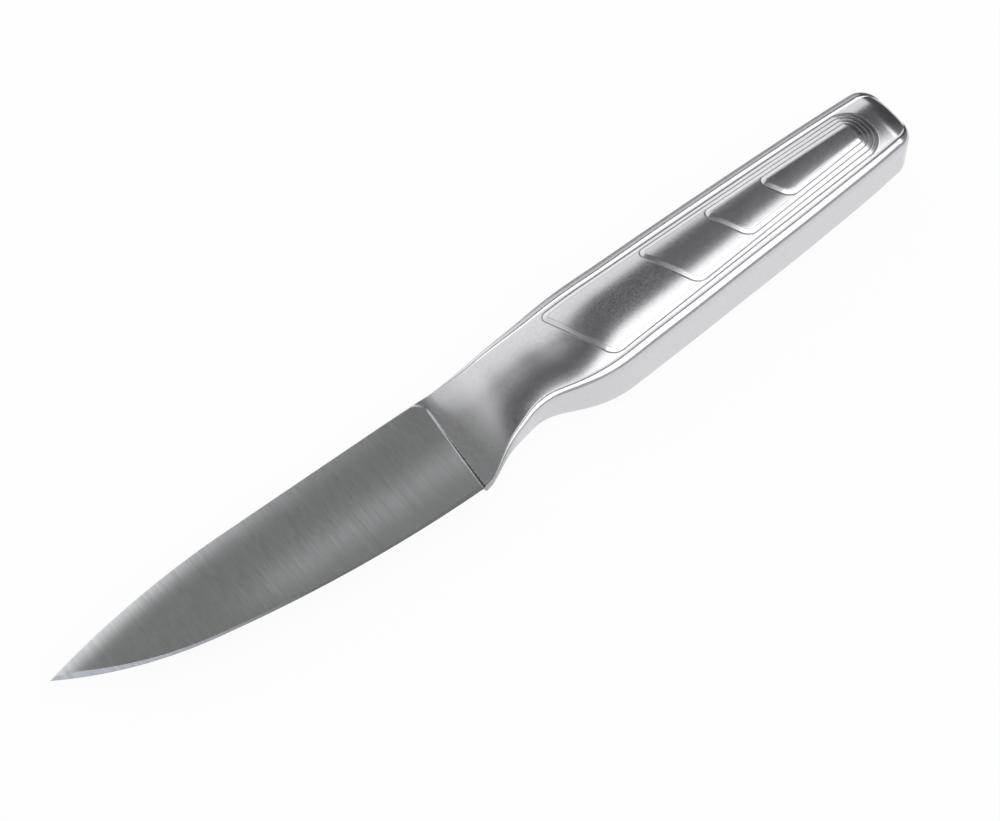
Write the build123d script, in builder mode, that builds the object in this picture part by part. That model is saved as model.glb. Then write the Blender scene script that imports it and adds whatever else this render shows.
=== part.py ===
from build123d import *
import os
from collections import namedtuple
from math import asin, atan2, cos, degrees, radians, sin, tan

# Paring knife of welded stainless steel, lying on its right side. X runs from the point of the blade
# to the butt, the cutting edge faces -Y, and +Z is up. The origin is the middle of the footprint.

# Overall
overall_length = 208.8
blade_length = 89.0          # point to the end of the cutting edge
rim_thickness = 13.2         # handle over the rims of both sides, at the swell

# Blade, drawn down from its straight spine line
spine_thickness = 1.9
heel_depth = 23.1            # spine line down to the cutting edge at the heel
heel_step = 0.4              # unsharpened heel corner, proud of the edge
heel_land = 0.7              # run from the edge to that corner
point_drop = 5.2             # spine line down to the point
spine_bow_length = 44.0      # stretch of the spine that bows down to the point
root_setback = 2.5           # end of the edge to the foot of the neck
edge_land = 0.42             # steel behind the edge bevel at the heel
point_land = 0.7             # steel behind the edge bevel at the point
bevel_angle = 15.0           # each side of the cutting edge
grind_start = 0.06           # depth of each ground face at the spine, over the heel
plunge_setback = 0.5         # end of the ground face behind the end of the edge
plunge_lean = 1.8            # lean of that end towards the handle
plunge_corner = 3.0          # rounding where it turns forward, under the spine
plunge_sweep = 12.0          # how far it runs forward along the spine
plunge_rise = 0.15           # its foot over the spine line at the turn
plunge_exit_rise = 0.45      # and where the sweep ends
plunge_radius = 0.6          # fillet between the ground face and the unground steel

# Neck and handle, drawn through stations from the foot of the neck to the butt
spine_rise = 1.5             # handle above the spine line of the blade
edge_radius = 1.8            # rounded rim along the long edges of the handle
rim_turn = 20.0              # how far the rim rolls over before it meets the side face
crown_rise = 0.6             # bulge of each side face across the handle
crown_flat_share = 0.36      # level middle of that bulge, of the face's width
butt_corner = 4.5            # rounding of the butt in plan, at spine and belly
butt_edge = 1.5              # how far its rounded end bends in from each side face
wall = 1.4                   # pressed sheet of the handle shells
weld_width = 1.6
neck_lap = 1.2               # solid neck beyond the front of the hollow's form

# Tang of the blade, inside the neck
tang_length = 18.0
tang_thickness = 2.2
tang_height = 8.0
tang_corner = 0.8

# Terraces pressed out of each side, one on top of the other
terrace_height = 0.28
butt_rim = 6.7               # butt to the first terrace
spine_rim = 2.75             # spine side of the handle to the first terrace
belly_rim = 2.75             # belly side of the handle to the first terrace
terrace_pitch = 1.1          # from one terrace's edge to the next
terrace_end_radius = 5.2
terrace_front_radius = 1.3
terrace_chin_radius = 3.2
front_slant_share = 0.41     # run of a terrace's front over its height
terrace_front_shares = (0.237, 0.444, 0.583, 0.701)   # of the length from the neck's foot to the butt

# Where the long arc of the edge, level at the heel, hands over to the tighter arc that runs up to the
# point: shares of the blade length from the point, and of the heel depth from the spine line.
edge_knee_shares = (0.326, 0.738)

# Each row is a station of the neck and handle: place along it, up to the rounded butt, rise of the spine,
# depth of the belly, growth from blade thickness to rim thickness, and rounding of the long edges, all
# as shares. The neck's foot is a hair thinner than the blade, which closes over it.
station_shares = (
    (0.000, 0.00, 0.983, -0.002, 0.12),
    (0.022, 0.00, 0.932, 0.020, 0.18),
    (0.049, 0.01, 0.862, 0.110, 0.26),
    (0.075, 0.03, 0.809, 0.227, 0.36),
    (0.106, 0.13, 0.768, 0.345, 0.46),
    (0.137, 0.30, 0.734, 0.445, 0.56),
    (0.173, 0.43, 0.736, 0.563, 0.66),
    (0.208, 0.53, 0.791, 0.672, 0.76),
    (0.253, 0.67, 0.860, 0.835, 0.85),
    (0.310, 0.77, 0.898, 0.975, 0.94),
    (0.368, 0.80, 0.888, 1.000, 1.00),
    (0.474, 0.89, 0.858, 1.000, 1.00),
    (0.607, 0.97, 0.815, 1.000, 1.00),
    (0.740, 1.00, 0.773, 0.990, 1.00),
    (0.874, 1.00, 0.722, 0.955, 1.00),
    (0.943, 0.98, 0.692, 0.922, 1.00),
    (1.000, 0.94, 0.659, 0.875, 1.00),
)
butt_turns = (0, 22.5, 45, 67.5, 90)   # how far round the butt its sections lie
cavity_first_row = 4         # the hollow starts under the neck weld
terrace_first_row = 7        # no terrace reaches forward of this station

# Worked out from the sizes above
root_x = blade_length + root_setback
handle_run = overall_length - root_x
station_run = handle_run - butt_corner
belly_depth = heel_depth + heel_step
half_blade = spine_thickness / 2
neck_end_x = root_x + station_run * station_shares[cavity_first_row][0] + neck_lap
shell_start_x = neck_end_x + weld_width
overrun = rim_thickness

# The edge's two arcs: radius and turn of the long one, then of the tighter one, tangent to it at the knee
knee_x = blade_length * edge_knee_shares[0]
knee_y = -heel_depth * edge_knee_shares[1]
knee_run = blade_length - knee_x
knee_rise = knee_y + heel_depth
flat_radius = (knee_run**2 + knee_rise**2) / (2 * knee_rise)
flat_turn = asin(knee_run / flat_radius)
tip_rise = -point_drop - knee_y
tip_radius = (knee_x**2 + tip_rise**2) / (2 * (tip_rise * cos(flat_turn) - knee_x * sin(flat_turn)))
point_turn = 2 * atan2(tip_rise, knee_x) - flat_turn


# One cross-section of the handle: its place along the knife, spine and belly, height and radius of the
# rim, height of the crease inside the rim, bulge of the side face, and the ends of that face's level middle
Station = namedtuple("Station", "x spine_y belly_y rim radius crease bulge level_ends")


def cross_section(x, spine_y, belly_y, rim, radius, bulge):
    """Cross-section with its crease and the level middle of its side faces worked out."""
    crease = rim - radius * (1 - cos(radians(rim_turn)))
    middle = (spine_y + belly_y) / 2
    flat_reach = crown_flat_share * (spine_y - belly_y) / 2
    level_ends = (middle + flat_reach, middle - flat_reach)
    return Station(x, spine_y, belly_y, rim, radius, crease, bulge, level_ends)


def station(row):
    """Cross-section of the handle from one row of shares."""
    along, rise, depth, growth, rounding = row
    rim = (spine_thickness + (rim_thickness - spine_thickness) * growth) / 2
    bulge = crown_rise * max(growth, rounding / 10)
    return cross_section(
        root_x + station_run * along, spine_rise * rise, -belly_depth * depth,
        rim, edge_radius * rounding, bulge,
    )


def butt_section(turn, corner, edge):
    """Cross-section of the rounded butt, a turn round its corner and edge radii: narrower than the last
    station, with its rims and its crown in proportion, and thinner."""
    last = station(station_shares[-1])
    inset = corner * (1 - cos(radians(turn)))
    drop = edge * (1 - cos(radians(turn)))
    share = 1 - 2 * inset / (last.spine_y - last.belly_y)
    return cross_section(
        last.x + corner * sin(radians(turn)), last.spine_y - inset, last.belly_y + inset,
        last.rim - drop, last.radius * share, last.bulge * share,
    )


def sizes_at(x):
    """Spine, belly and top of the crown of the handle at a distance from the point."""
    for before, after in zip(station_shares, station_shares[1:]):
        start, end = station(before), station(after)
        if x <= end.x:
            break
    share = (x - start.x) / (end.x - start.x)
    spine_y = start.spine_y + (end.spine_y - start.spine_y) * share
    belly_y = start.belly_y + (end.belly_y - start.belly_y) * share
    start_top = start.crease + start.bulge
    return spine_y, belly_y, start_top + (end.crease + end.bulge - start_top) * share


def terrace_corners(number):
    """Chin, two butt corners and front corner of a terrace, in plan."""
    rim = terrace_pitch * number
    front_x = root_x + handle_run * terrace_front_shares[number]
    end_x = overall_length - butt_rim - rim
    spine_y, belly_y = sizes_at(front_x)[:2]
    chin_x = front_x + front_slant_share * (spine_y - spine_rim - belly_y - belly_rim - 2 * rim)
    chin_y = sizes_at(chin_x)[1] + belly_rim + rim
    end_spine_y, end_belly_y = sizes_at(end_x)[:2]
    return (
        (chin_x, chin_y), (end_x, end_belly_y + belly_rim + rim),
        (end_x, end_spine_y - spine_rim - rim), (front_x, spine_y - spine_rim - rim),
    )


# The knife lies on the crown of its last right terrace, just behind that terrace's front
last_corners = terrace_corners(len(terrace_front_shares) - 1)
rest_x = (last_corners[0][0] + last_corners[-1][0]) / 2
rest_height = sizes_at(rest_x)[2] + terrace_height * len(terrace_front_shares)

# The knife's own plane: origin on the spine line over the point, midway through the blade
knife = Plane(origin=(-overall_length / 2, (belly_depth - spine_rise) / 2, rest_height))


def cross_plane(x):
    """Plane across the knife at a distance from the point: its x is the knife's Y, its y is up."""
    return Plane(origin=knife.from_local_coords((x, 0, 0)), x_dir=(0, 1, 0), z_dir=(1, 0, 0))


def crown(level_ends, ends, foot, rise, side):
    """Crowned line across one side of a section: level in the middle, bent down on both sides of it."""
    top = side * (foot + rise)
    Line((level_ends[0], top), (level_ends[1], top))
    TangentArc((level_ends[0], top), (ends[0], side * foot), tangent=(1, 0))
    TangentArc((level_ends[1], top), (ends[1], side * foot), tangent=(-1, 0))


def outer_loft(cuts):
    """Solid through the outer outlines of some cross-sections."""
    with BuildPart() as form:
        for cut in cuts:
            level = cut.rim - cut.radius
            inwards = cut.radius * (1 + sin(radians(rim_turn)))
            creases = (cut.spine_y - inwards, cut.belly_y + inwards)
            with BuildSketch(cross_plane(cut.x)):
                with BuildLine():
                    Line((cut.spine_y, level), (cut.spine_y, -level))
                    Line((cut.belly_y, level), (cut.belly_y, -level))
                    for side in (1, -1):
                        centre = (cut.spine_y - cut.radius, side * level)
                        CenterArc(centre, cut.radius, 0, side * (90 + rim_turn))
                        centre = (cut.belly_y + cut.radius, side * level)
                        CenterArc(centre, cut.radius, 180, -side * (90 + rim_turn))
                        crown(cut.level_ends, creases, cut.crease, cut.bulge, side)
                make_face()
        loft()
    return form.part


def inner_loft(cuts):
    """Solid one sheet's thickness inside some cross-sections."""
    with BuildPart() as form:
        for cut in cuts:
            high, low = cut.spine_y - wall, cut.belly_y + wall
            shoulder = cut.crease - wall
            with BuildSketch(cross_plane(cut.x)):
                with BuildLine():
                    Line((high, shoulder), (high, -shoulder))
                    Line((low, shoulder), (low, -shoulder))
                    for side in (1, -1):
                        crown(cut.level_ends, (high, low), shoulder, cut.bulge, side)
                make_face()
        loft()
    return form.part


def crowned_slab(rise):
    """Solid under one side face of the handle, with the crowned face raised by a rise."""
    with BuildPart() as slab:
        for row in station_shares[terrace_first_row:]:
            cut = station(row)
            high, low = cut.spine_y, cut.belly_y
            reach = high - cut.level_ends[0]
            slope = reach - cut.radius * (1 + sin(radians(rim_turn)))
            crown_radius = (slope**2 + cut.bulge**2) / (2 * cut.bulge)
            drop = crown_radius - (crown_radius**2 - reach**2) ** 0.5
            foot = cut.crease + cut.bulge + rise - drop
            with BuildSketch(cross_plane(cut.x)):
                with BuildLine():
                    Polyline((low, foot), (low, 0), (high, 0), (high, foot))
                    crown(cut.level_ends, (high, low), foot, drop, 1)
                make_face()
        loft()
    return slab.part


def terrace(number, inset):
    """One terrace from the middle of the handle up to its crowned top, moved in by an inset."""
    end_radius = max(terrace_end_radius - terrace_pitch * number - inset, terrace_front_radius / 4)
    chin_radius = max(terrace_chin_radius - inset, terrace_front_radius / 4)
    front_radius = max(terrace_front_radius - inset, terrace_front_radius / 4)
    with BuildPart() as pad:
        with BuildSketch(knife):
            with BuildLine():
                Polyline(*terrace_corners(number), close=True)
            make_face()
            if inset:
                offset(amount=-inset, kind=Kind.INTERSECTION)
            fillet(vertices().sort_by(Axis.X)[2:], radius=end_radius)
            fillet(vertices().sort_by(Axis.X)[1], radius=chin_radius)
            fillet(vertices().sort_by(Axis.X)[0], radius=front_radius)
        extrude(amount=overrun)
        add(crowned_slab(terrace_height * (number + 1) - inset), mode=Mode.INTERSECT)
    return pad.part


# Outer and inner surfaces of neck and handle, with the rounded butt and the terraces of the left side
with BuildPart() as outer_form:
    add(outer_loft([station(row) for row in station_shares]))
    add(outer_loft([butt_section(turn, butt_corner, butt_edge) for turn in butt_turns]))
    for number in range(len(terrace_front_shares)):
        add(terrace(number, 0))

with BuildPart() as inner_form:
    add(inner_loft([station(row) for row in station_shares[cavity_first_row:]]))
    add(inner_loft([butt_section(turn, butt_corner - wall, 0) for turn in butt_turns]))
    for number in range(len(terrace_front_shares)):
        add(terrace(number, wall))

# Left and right handle shells, short of each other and of the neck by the welds
with BuildPart() as handle_shell_left:
    add(outer_form.part)
    add(inner_form.part, mode=Mode.SUBTRACT)
    split(bisect_by=knife.offset(weld_width / 2), keep=Keep.TOP)
    split(bisect_by=cross_plane(shell_start_x), keep=Keep.TOP)

with BuildPart() as handle_shell_right:
    mirror(handle_shell_left.part, about=knife)

# Seam welds between the shells: one run along the spine and one along the belly, meeting at the butt
with BuildPart() as seam:
    add(outer_form.part)
    add(inner_form.part, mode=Mode.SUBTRACT)
    split(bisect_by=knife.offset(weld_width / 2), keep=Keep.BOTTOM)
    split(bisect_by=knife.offset(-weld_width / 2), keep=Keep.TOP)
    split(bisect_by=cross_plane(shell_start_x), keep=Keep.TOP)

butt = station(station_shares[-1])
butt_middle = knife.from_local_coords((butt.x, (butt.spine_y + butt.belly_y) / 2, 0))
seam_meeting = Plane(origin=butt_middle, x_dir=(1, 0, 0), z_dir=(0, 1, 0))

with BuildPart() as spine_seam_weld:
    add(seam.part)
    split(bisect_by=seam_meeting, keep=Keep.TOP)

with BuildPart() as belly_seam_weld:
    add(seam.part)
    split(bisect_by=seam_meeting, keep=Keep.BOTTOM)

# Neck weld: the ring that joins the shells and their seams to the neck of the blade
with BuildPart() as neck_weld:
    add(outer_form.part)
    add(inner_form.part, mode=Mode.SUBTRACT)
    split(bisect_by=cross_plane(neck_end_x), keep=Keep.TOP)
    split(bisect_by=cross_plane(shell_start_x), keep=Keep.BOTTOM)


def edge_lines(back):
    """The cutting edge from heel to point, drawn further up the blade by a distance."""
    flat = JernArc(
        start=(blade_length, back - heel_depth), tangent=(-1, 0),
        radius=flat_radius - back, arc_size=-degrees(flat_turn),
    )
    tip = JernArc(
        start=flat @ 1, tangent=flat % 1,
        radius=tip_radius - back, arc_size=-degrees(point_turn - flat_turn),
    )
    return flat, tip


# Flat stock of the blade, as thick as the spine
with BuildPart() as plate:
    with BuildSketch(knife.offset(-half_blade)):
        with BuildLine():
            flat, tip = edge_lines(0)
            TangentArc((spine_bow_length, 0), tip @ 1, tangent=(-1, 0))
            root_belly_y = -belly_depth * station_shares[0][2]
            Polyline(
                (spine_bow_length, 0), (root_x, 0), (root_x, root_belly_y),
                (blade_length + heel_land, -belly_depth), flat @ 0,
            )
        make_face()
    extrude(amount=spine_thickness)

# Metal ground off the left face, down to a plane that leans in towards the edge and the point
spine_corner = knife.from_local_coords((blade_length, 0, half_blade - grind_start))
heel_corner = knife.from_local_coords((blade_length, -heel_depth, edge_land / 2))
point_corner = knife.from_local_coords((0, -point_drop, point_land / 2))
ground_normal = (spine_corner - point_corner).cross(heel_corner - point_corner)
if ground_normal.Z < 0:
    ground_normal = -ground_normal
ground_face = Plane(origin=heel_corner, z_dir=ground_normal)

with BuildPart() as grind:
    with BuildSketch(knife):
        with BuildLine():
            turn_x = blade_length + plunge_setback + plunge_lean
            exit_x = blade_length - plunge_sweep
            low_x = blade_length + plunge_setback - plunge_lean * overrun / heel_depth
            Polyline(
                (low_x, -heel_depth - overrun), (turn_x, plunge_rise), (exit_x, plunge_exit_rise),
                (exit_x, overrun), (-overrun, overrun), (-overrun, -heel_depth - overrun), close=True,
            )
        make_face()
        fillet(vertices().sort_by(Axis.X)[-1], radius=plunge_corner)
    extrude(amount=overrun)
    split(bisect_by=ground_face, keep=Keep.TOP)
    fillet(faces().sort_by(Axis.Z)[0].edges().sort_by(Axis.X)[-3:], radius=plunge_radius)

# Space above the middle of the blade that lies inside the left bevel of the edge
with BuildPart() as edge_wedge:
    for height in (0, half_blade):
        with BuildSketch(knife.offset(height)):
            with BuildLine():
                flat, tip = edge_lines(height / tan(radians(bevel_angle)))
                lead = tip @ 1 + (tip % 1) * overrun
                Polyline(
                    tip @ 1, lead, (lead.X, overrun), (blade_length + overrun, overrun),
                    (blade_length + overrun, (flat @ 0).Y), flat @ 0,
                )
            make_face()
    loft(ruled=True)

# Metal outside the two bevels, up to the heel
with BuildPart() as edge_waste:
    with BuildSketch(knife.offset(-half_blade)):
        with BuildLine():
            Polyline(
                (-overrun, -heel_depth - overrun), (blade_length, -heel_depth - overrun),
                (blade_length, overrun), (-overrun, overrun), close=True,
            )
        make_face()
    extrude(amount=spine_thickness)
    add(edge_wedge.part, mode=Mode.SUBTRACT)
    mirror(edge_wedge.part, about=knife, mode=Mode.SUBTRACT)

# Solid neck, with the tang that reaches back from it into the handle
with BuildPart() as neck:
    add(outer_form.part)
    split(bisect_by=cross_plane(neck_end_x), keep=Keep.BOTTOM)
    neck_spine_y, neck_belly_y = sizes_at(neck_end_x)[:2]
    with BuildSketch(cross_plane(neck_end_x)):
        with Locations(((neck_spine_y + neck_belly_y) / 2, 0)):
            RectangleRounded(tang_height, tang_thickness, radius=tang_corner)
    extrude(amount=tang_length)

# Blade: ground and sharpened plate, in one piece with the neck and the tang
with BuildPart() as blade:
    add(plate.part)
    add(grind.part, mode=Mode.SUBTRACT)
    mirror(grind.part, about=knife, mode=Mode.SUBTRACT)
    add(edge_waste.part, mode=Mode.SUBTRACT)
    add(neck.part)

blade.part.label = "blade"
handle_shell_left.part.label = "handle_shell_left"
handle_shell_right.part.label = "handle_shell_right"
neck_weld.part.label = "neck_weld"
spine_seam_weld.part.label = "spine_seam_weld"
belly_seam_weld.part.label = "belly_seam_weld"

os.makedirs("parts", exist_ok=True)
export_step(blade.part, "parts/blade.step")
export_step(handle_shell_left.part, "parts/handle_shell_left.step")
export_step(handle_shell_right.part, "parts/handle_shell_right.step")
export_step(neck_weld.part, "parts/neck_weld.step")
export_step(spine_seam_weld.part, "parts/spine_seam_weld.step")
export_step(belly_seam_weld.part, "parts/belly_seam_weld.step")
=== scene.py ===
import math

import bpy
import numpy as np
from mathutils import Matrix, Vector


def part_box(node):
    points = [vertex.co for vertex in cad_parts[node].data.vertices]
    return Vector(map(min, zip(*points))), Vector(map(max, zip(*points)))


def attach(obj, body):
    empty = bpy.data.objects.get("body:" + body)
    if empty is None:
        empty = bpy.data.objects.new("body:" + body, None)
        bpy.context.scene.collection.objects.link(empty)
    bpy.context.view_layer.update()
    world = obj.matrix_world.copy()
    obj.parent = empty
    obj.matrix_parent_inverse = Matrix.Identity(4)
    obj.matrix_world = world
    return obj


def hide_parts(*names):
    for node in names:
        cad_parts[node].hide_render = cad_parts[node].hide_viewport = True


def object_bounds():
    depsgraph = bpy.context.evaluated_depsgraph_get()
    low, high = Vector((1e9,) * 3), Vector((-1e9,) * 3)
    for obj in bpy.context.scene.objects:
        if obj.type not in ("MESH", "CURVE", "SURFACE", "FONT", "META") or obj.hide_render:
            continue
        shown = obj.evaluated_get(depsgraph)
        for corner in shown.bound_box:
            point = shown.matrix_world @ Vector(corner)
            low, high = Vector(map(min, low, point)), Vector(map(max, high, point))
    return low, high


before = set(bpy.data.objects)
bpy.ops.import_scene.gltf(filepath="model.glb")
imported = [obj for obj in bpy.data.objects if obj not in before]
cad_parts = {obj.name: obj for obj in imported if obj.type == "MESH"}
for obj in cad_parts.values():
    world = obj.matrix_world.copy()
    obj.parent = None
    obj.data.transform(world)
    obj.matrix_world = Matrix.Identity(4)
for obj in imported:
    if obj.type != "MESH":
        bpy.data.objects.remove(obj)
cad_low, cad_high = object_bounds()

# Blade: one forging of stainless steel. The plate is ground down to a plane on both sides, as far back as
# a curved plunge line, and bevelled along the edge. Its neck swells to meet the handle. The places below
# are millimetres back from the point (x), up from the line of the spine (y) and out of the middle (z).
MM = 0.001
OVERALL_LENGTH = (cad_high.x - cad_low.x) / MM
BELLY_DEPTH = 23.5
KNIFE_ORIGIN = (cad_low.x / MM, cad_low.y / MM + BELLY_DEPTH, (cad_low.z + cad_high.z) / 2 / MM)

BLADE_LENGTH = 89.0
HEEL_DEPTH = 23.1
HEEL_LAND = 0.7
POINT_DROP = 5.2
SPINE_BOW = 44.0
EDGE_KNEE = (0.326 * BLADE_LENGTH, -0.738 * HEEL_DEPTH)
HALF_SPINE = 0.95
GROUND_AT_SPINE = 0.89
GROUND_AT_HEEL = 0.21
GROUND_AT_POINT = 0.35
BEVEL_SLOPE = math.tan(math.radians(15))
SPINE_ROUND = 0.12
ROUND_GROWS_FROM_X = BLADE_LENGTH - 5.0
LEAST_CROWN_WIDTH = 3.0

# Strips that the belt rolled off under the spine: on the blade towards the point, and on the neck.
BLADE_ROLL_WIDTH = 4.2
BLADE_ROLL_DEPTH = 0.17
BLADE_ROLL_FULL_X = 12.0
BLADE_ROLL_GONE_X = 72.0
NECK_ROLL_WIDTH = 8.0
NECK_ROLL_DEPTH = 0.26
NECK_ROLL_START_X = BLADE_LENGTH + 1.5
NECK_ROLL_RUN_IN = 3.0
NECK_ROLL_RUN_OUT = 5.0

# Plunge line: its top corner, a place on its nearly level upper side, its lean and the step down from it.
PLUNGE_TOP = (BLADE_LENGTH + 2.3, 0.15)
PLUNGE_SIDE = (BLADE_LENGTH - 12.0, 0.45)
PLUNGE_LEAN = 1.8 / HEEL_DEPTH
PLUNGE_CORNER = 3.0
PLUNGE_RADIUS = 0.6
PLUNGE_POWER = 2.2

# Stations of neck and handle, as in the CAD: place along it, rise of the spine side, depth of the belly
# side, growth from blade thickness to rim thickness and rounding of the rims, all as shares.
ROOT_X = BLADE_LENGTH + 2.5
NECK_END_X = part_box("neck_weld")[0].x / MM - KNIFE_ORIGIN[0]
SHELL_START_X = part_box("neck_weld")[1].x / MM - KNIFE_ORIGIN[0]
STATION_SHARES = np.array([
    (0.000, 0.00, 0.983, 0.000, 0.12), (0.022, 0.00, 0.932, 0.020, 0.18), (0.049, 0.01, 0.862, 0.110, 0.26),
    (0.075, 0.03, 0.809, 0.227, 0.36), (0.106, 0.13, 0.768, 0.345, 0.46), (0.137, 0.30, 0.734, 0.445, 0.56),
    (0.173, 0.43, 0.736, 0.563, 0.66), (0.208, 0.53, 0.791, 0.672, 0.76), (0.253, 0.67, 0.860, 0.835, 0.85),
    (0.310, 0.77, 0.898, 0.975, 0.94), (0.368, 0.80, 0.888, 1.000, 1.00), (0.474, 0.89, 0.858, 1.000, 1.00),
    (0.607, 0.97, 0.815, 1.000, 1.00), (0.740, 1.00, 0.773, 0.990, 1.00), (0.874, 1.00, 0.722, 0.955, 1.00),
    (0.943, 0.98, 0.692, 0.922, 1.00), (1.000, 0.94, 0.659, 0.875, 1.00),
])
SPINE_RISE = 1.5
RIM_THICKNESS = 13.2
RIM_RADIUS = 1.8
RIM_TURN = math.radians(20)
CROWN_RISE = 0.6
CROWN_POWER = 2.6
FLAT_CROWN_SHARE = 0.1
BUTT_CORNER = 4.5
BUTT_EDGE = 1.5
BUTT_START_X = OVERALL_LENGTH - BUTT_CORNER
RIM_TURN_RUN_IN = 3.0

# Points across a ring, places of its rows and the turn past which an edge between two faces looks sharp.
BLADE_ROLL_STEPS = 8
FACE_TOP_SHARE = 0.05
FACE_TOP_STEPS = 10
FACE_POINTS = 84
FACE_CROWDING = 1.6
POINT_ROWS = (0.02, 0.1, 0.2, 0.35, 0.5, 0.75)
HEEL_ROWS_X = BLADE_LENGTH - 3.0
PLUNGE_ROWS_END_X = BLADE_LENGTH + 4.5
BLADE_ROWS = 190
HEEL_ROWS = 34
PLUNGE_ROWS = 58
NECK_ROWS = 48
SHARP_TURN = math.radians(30)

# Finishes of the blade, in the order of its material slots, and where the neck's begins.
GROUND, NECK, HONED = 0, 1, 2
NECK_GROUND_SHARE = 0.9


def share_between(value, start, end):
    """0 at start and before it, rising evenly to 1 at end and past it."""
    return np.clip((value - start) / (end - start), 0, 1)


def eased(share):
    """A share from 0 to 1 with level ends: three times its square less twice its cube."""
    return share * share * (3 - 2 * share)


def ridge(distance, width):
    """Bell curve, 1 where the distance is 0: the exponential of minus the square of distance by width."""
    return np.exp(-((distance / width) ** 2))


def smooth_through(places, values, wanted):
    """Natural cubic spline: between two places each value is a cubic, with slope and bend continuous.
    The bends at the places solve one small set of equations, and are zero at both ends."""
    count = len(places)
    gaps = np.diff(places)
    table = np.eye(count)
    right = np.zeros(count)
    inner = np.arange(1, count - 1)
    table[inner, inner - 1] = gaps[:-1]
    table[inner, inner] = 2 * (gaps[:-1] + gaps[1:])
    table[inner, inner + 1] = gaps[1:]
    right[inner] = 6 * (np.diff(values)[1:] / gaps[1:] - np.diff(values)[:-1] / gaps[:-1])
    bends = np.linalg.solve(table, right)
    cell = np.clip(np.searchsorted(places, wanted) - 1, 0, count - 2)
    step, gap = wanted - places[cell], gaps[cell]
    slope = (values[cell + 1] - values[cell]) / gap - gap * (2 * bends[cell] + bends[cell + 1]) / 6
    curve = step**2 * bends[cell] / 2 + step**3 * (bends[cell + 1] - bends[cell]) / (6 * gap)
    return values[cell] + step * slope + curve


def handle_section(x):
    """Spine side, belly side, rim height, rim radius and crown bulge of neck and handle at x: a spline
    through the stations, held at the first station's values in front of the neck. On the rounded butt x is
    a quarter circle's sine: both sides move in by its cosine, and rims and crown shrink in proportion."""
    along = share_between(x, ROOT_X, BUTT_START_X)
    rise, depth, growth, rounding = (
        smooth_through(STATION_SHARES[:, 0], STATION_SHARES[:, column], along) for column in (1, 2, 3, 4)
    )
    rim = HALF_SPINE + (RIM_THICKNESS / 2 - HALF_SPINE) * growth
    bulge = CROWN_RISE * np.maximum(growth, rounding * FLAT_CROWN_SHARE)
    spine, belly = SPINE_RISE * rise, -BELLY_DEPTH * depth
    turned = 1 - np.sqrt(1 - np.clip((x - BUTT_START_X) / BUTT_CORNER, 0, 1) ** 2)
    inset = BUTT_CORNER * turned
    share = 1 - 2 * inset / (spine - belly)
    radius = RIM_RADIUS * rounding * share
    return spine - inset, belly + inset, rim - BUTT_EDGE * turned, radius, bulge * share


def crown_height(y, spine, belly, rim, radius, bulge):
    """Height of a side face: the bulge times one less a power of the way out from its middle, on top of
    the crease inside each rim, which lies under the rim by the radius times one less the roll's cosine."""
    crease = rim - radius * (1 - math.cos(RIM_TURN))
    half = (spine - belly) / 2 - radius * (1 + math.sin(RIM_TURN))
    out = np.clip(np.abs(y - (spine + belly) / 2) / half, 0, 1)
    return crease + bulge * (1 - out**CROWN_POWER)


def inside_rounded(corners, radii, x, y):
    """Distance in from a convex outline with rounded corners, corners listed anticlockwise: the least of
    the distances to its sides, or within a corner's fan its radius less the distance to its centre."""
    corners = np.array(corners, float)
    runs = np.roll(corners, -1, axis=0) - corners
    inwards = np.stack((-runs[:, 1], runs[:, 0]), axis=1) / np.hypot(runs[:, 0], runs[:, 1])[:, None]
    depth = np.min([(x - c[0]) * n[0] + (y - c[1]) * n[1] for c, n in zip(corners, inwards)], axis=0)
    for index, radius in enumerate(radii):
        before, after = inwards[index - 1], inwards[index]
        centre = corners[index] + radius * (before + after) / (1 + before @ after)
        off_x, off_y = x - centre[0], y - centre[1]
        past_before = off_x * before[1] - off_y * before[0]
        past_after = off_y * after[0] - off_x * after[1]
        in_fan = (past_before >= 0) & (past_after >= 0)
        depth = np.where(in_fan, np.minimum(depth, radius - np.hypot(off_x, off_y)), depth)
    return depth


def steel_skin(name, x, y, z, shade, creases=()):
    """Closed skin through a grid of points: rows run along the knife and each row is a ring round it. The
    first and last rings are closed by one flat face each. shade is a value per point for the material, which
    paints light and shade into its colour.
    Edges that turn by more than a third of a right angle shade as edges, and so do the lines of points
    named as creases."""
    rows, ring = x.shape
    mesh = bpy.data.meshes.new(name)
    points = np.stack([(axis + start) * MM for axis, start in zip((x, y, z), KNIFE_ORIGIN)], axis=-1)
    index = np.arange(rows * ring).reshape(rows, ring)
    here, there = index[:-1], index[1:]
    quads = np.stack((here, np.roll(here, -1, axis=1), np.roll(there, -1, axis=1), there), axis=-1)
    faces = quads.reshape(-1, 4).tolist() + [index[0][::-1].tolist(), index[-1].tolist()]
    mesh.from_pydata(points.reshape(-1, 3), [], faces)
    mesh.polygons.foreach_set("use_smooth", np.ones(len(mesh.polygons), bool))
    mesh.set_sharp_from_angle(angle=SHARP_TURN)
    ends = np.empty(2 * len(mesh.edges), np.int32)
    mesh.edges.foreach_get("vertices", ends)
    ends = ends.reshape(-1, 2)
    sharp = np.empty(len(ends), bool)
    mesh.edges.foreach_get("use_edge_sharp", sharp)
    lengthwise = np.abs(ends[:, 0] - ends[:, 1]) == ring
    sharp |= lengthwise & np.isin(ends[:, 0] % ring, np.asarray(creases) % ring)
    mesh.edges.foreach_set("use_edge_sharp", sharp)
    layer = mesh.attributes.new("shade", "FLOAT", "POINT")
    layer.data.foreach_set("value", np.broadcast_to(shade, x.shape).ravel().astype(np.float32))
    mesh.update()
    piece = bpy.data.objects.new(name, mesh)
    bpy.context.scene.collection.objects.link(piece)
    return piece


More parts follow.
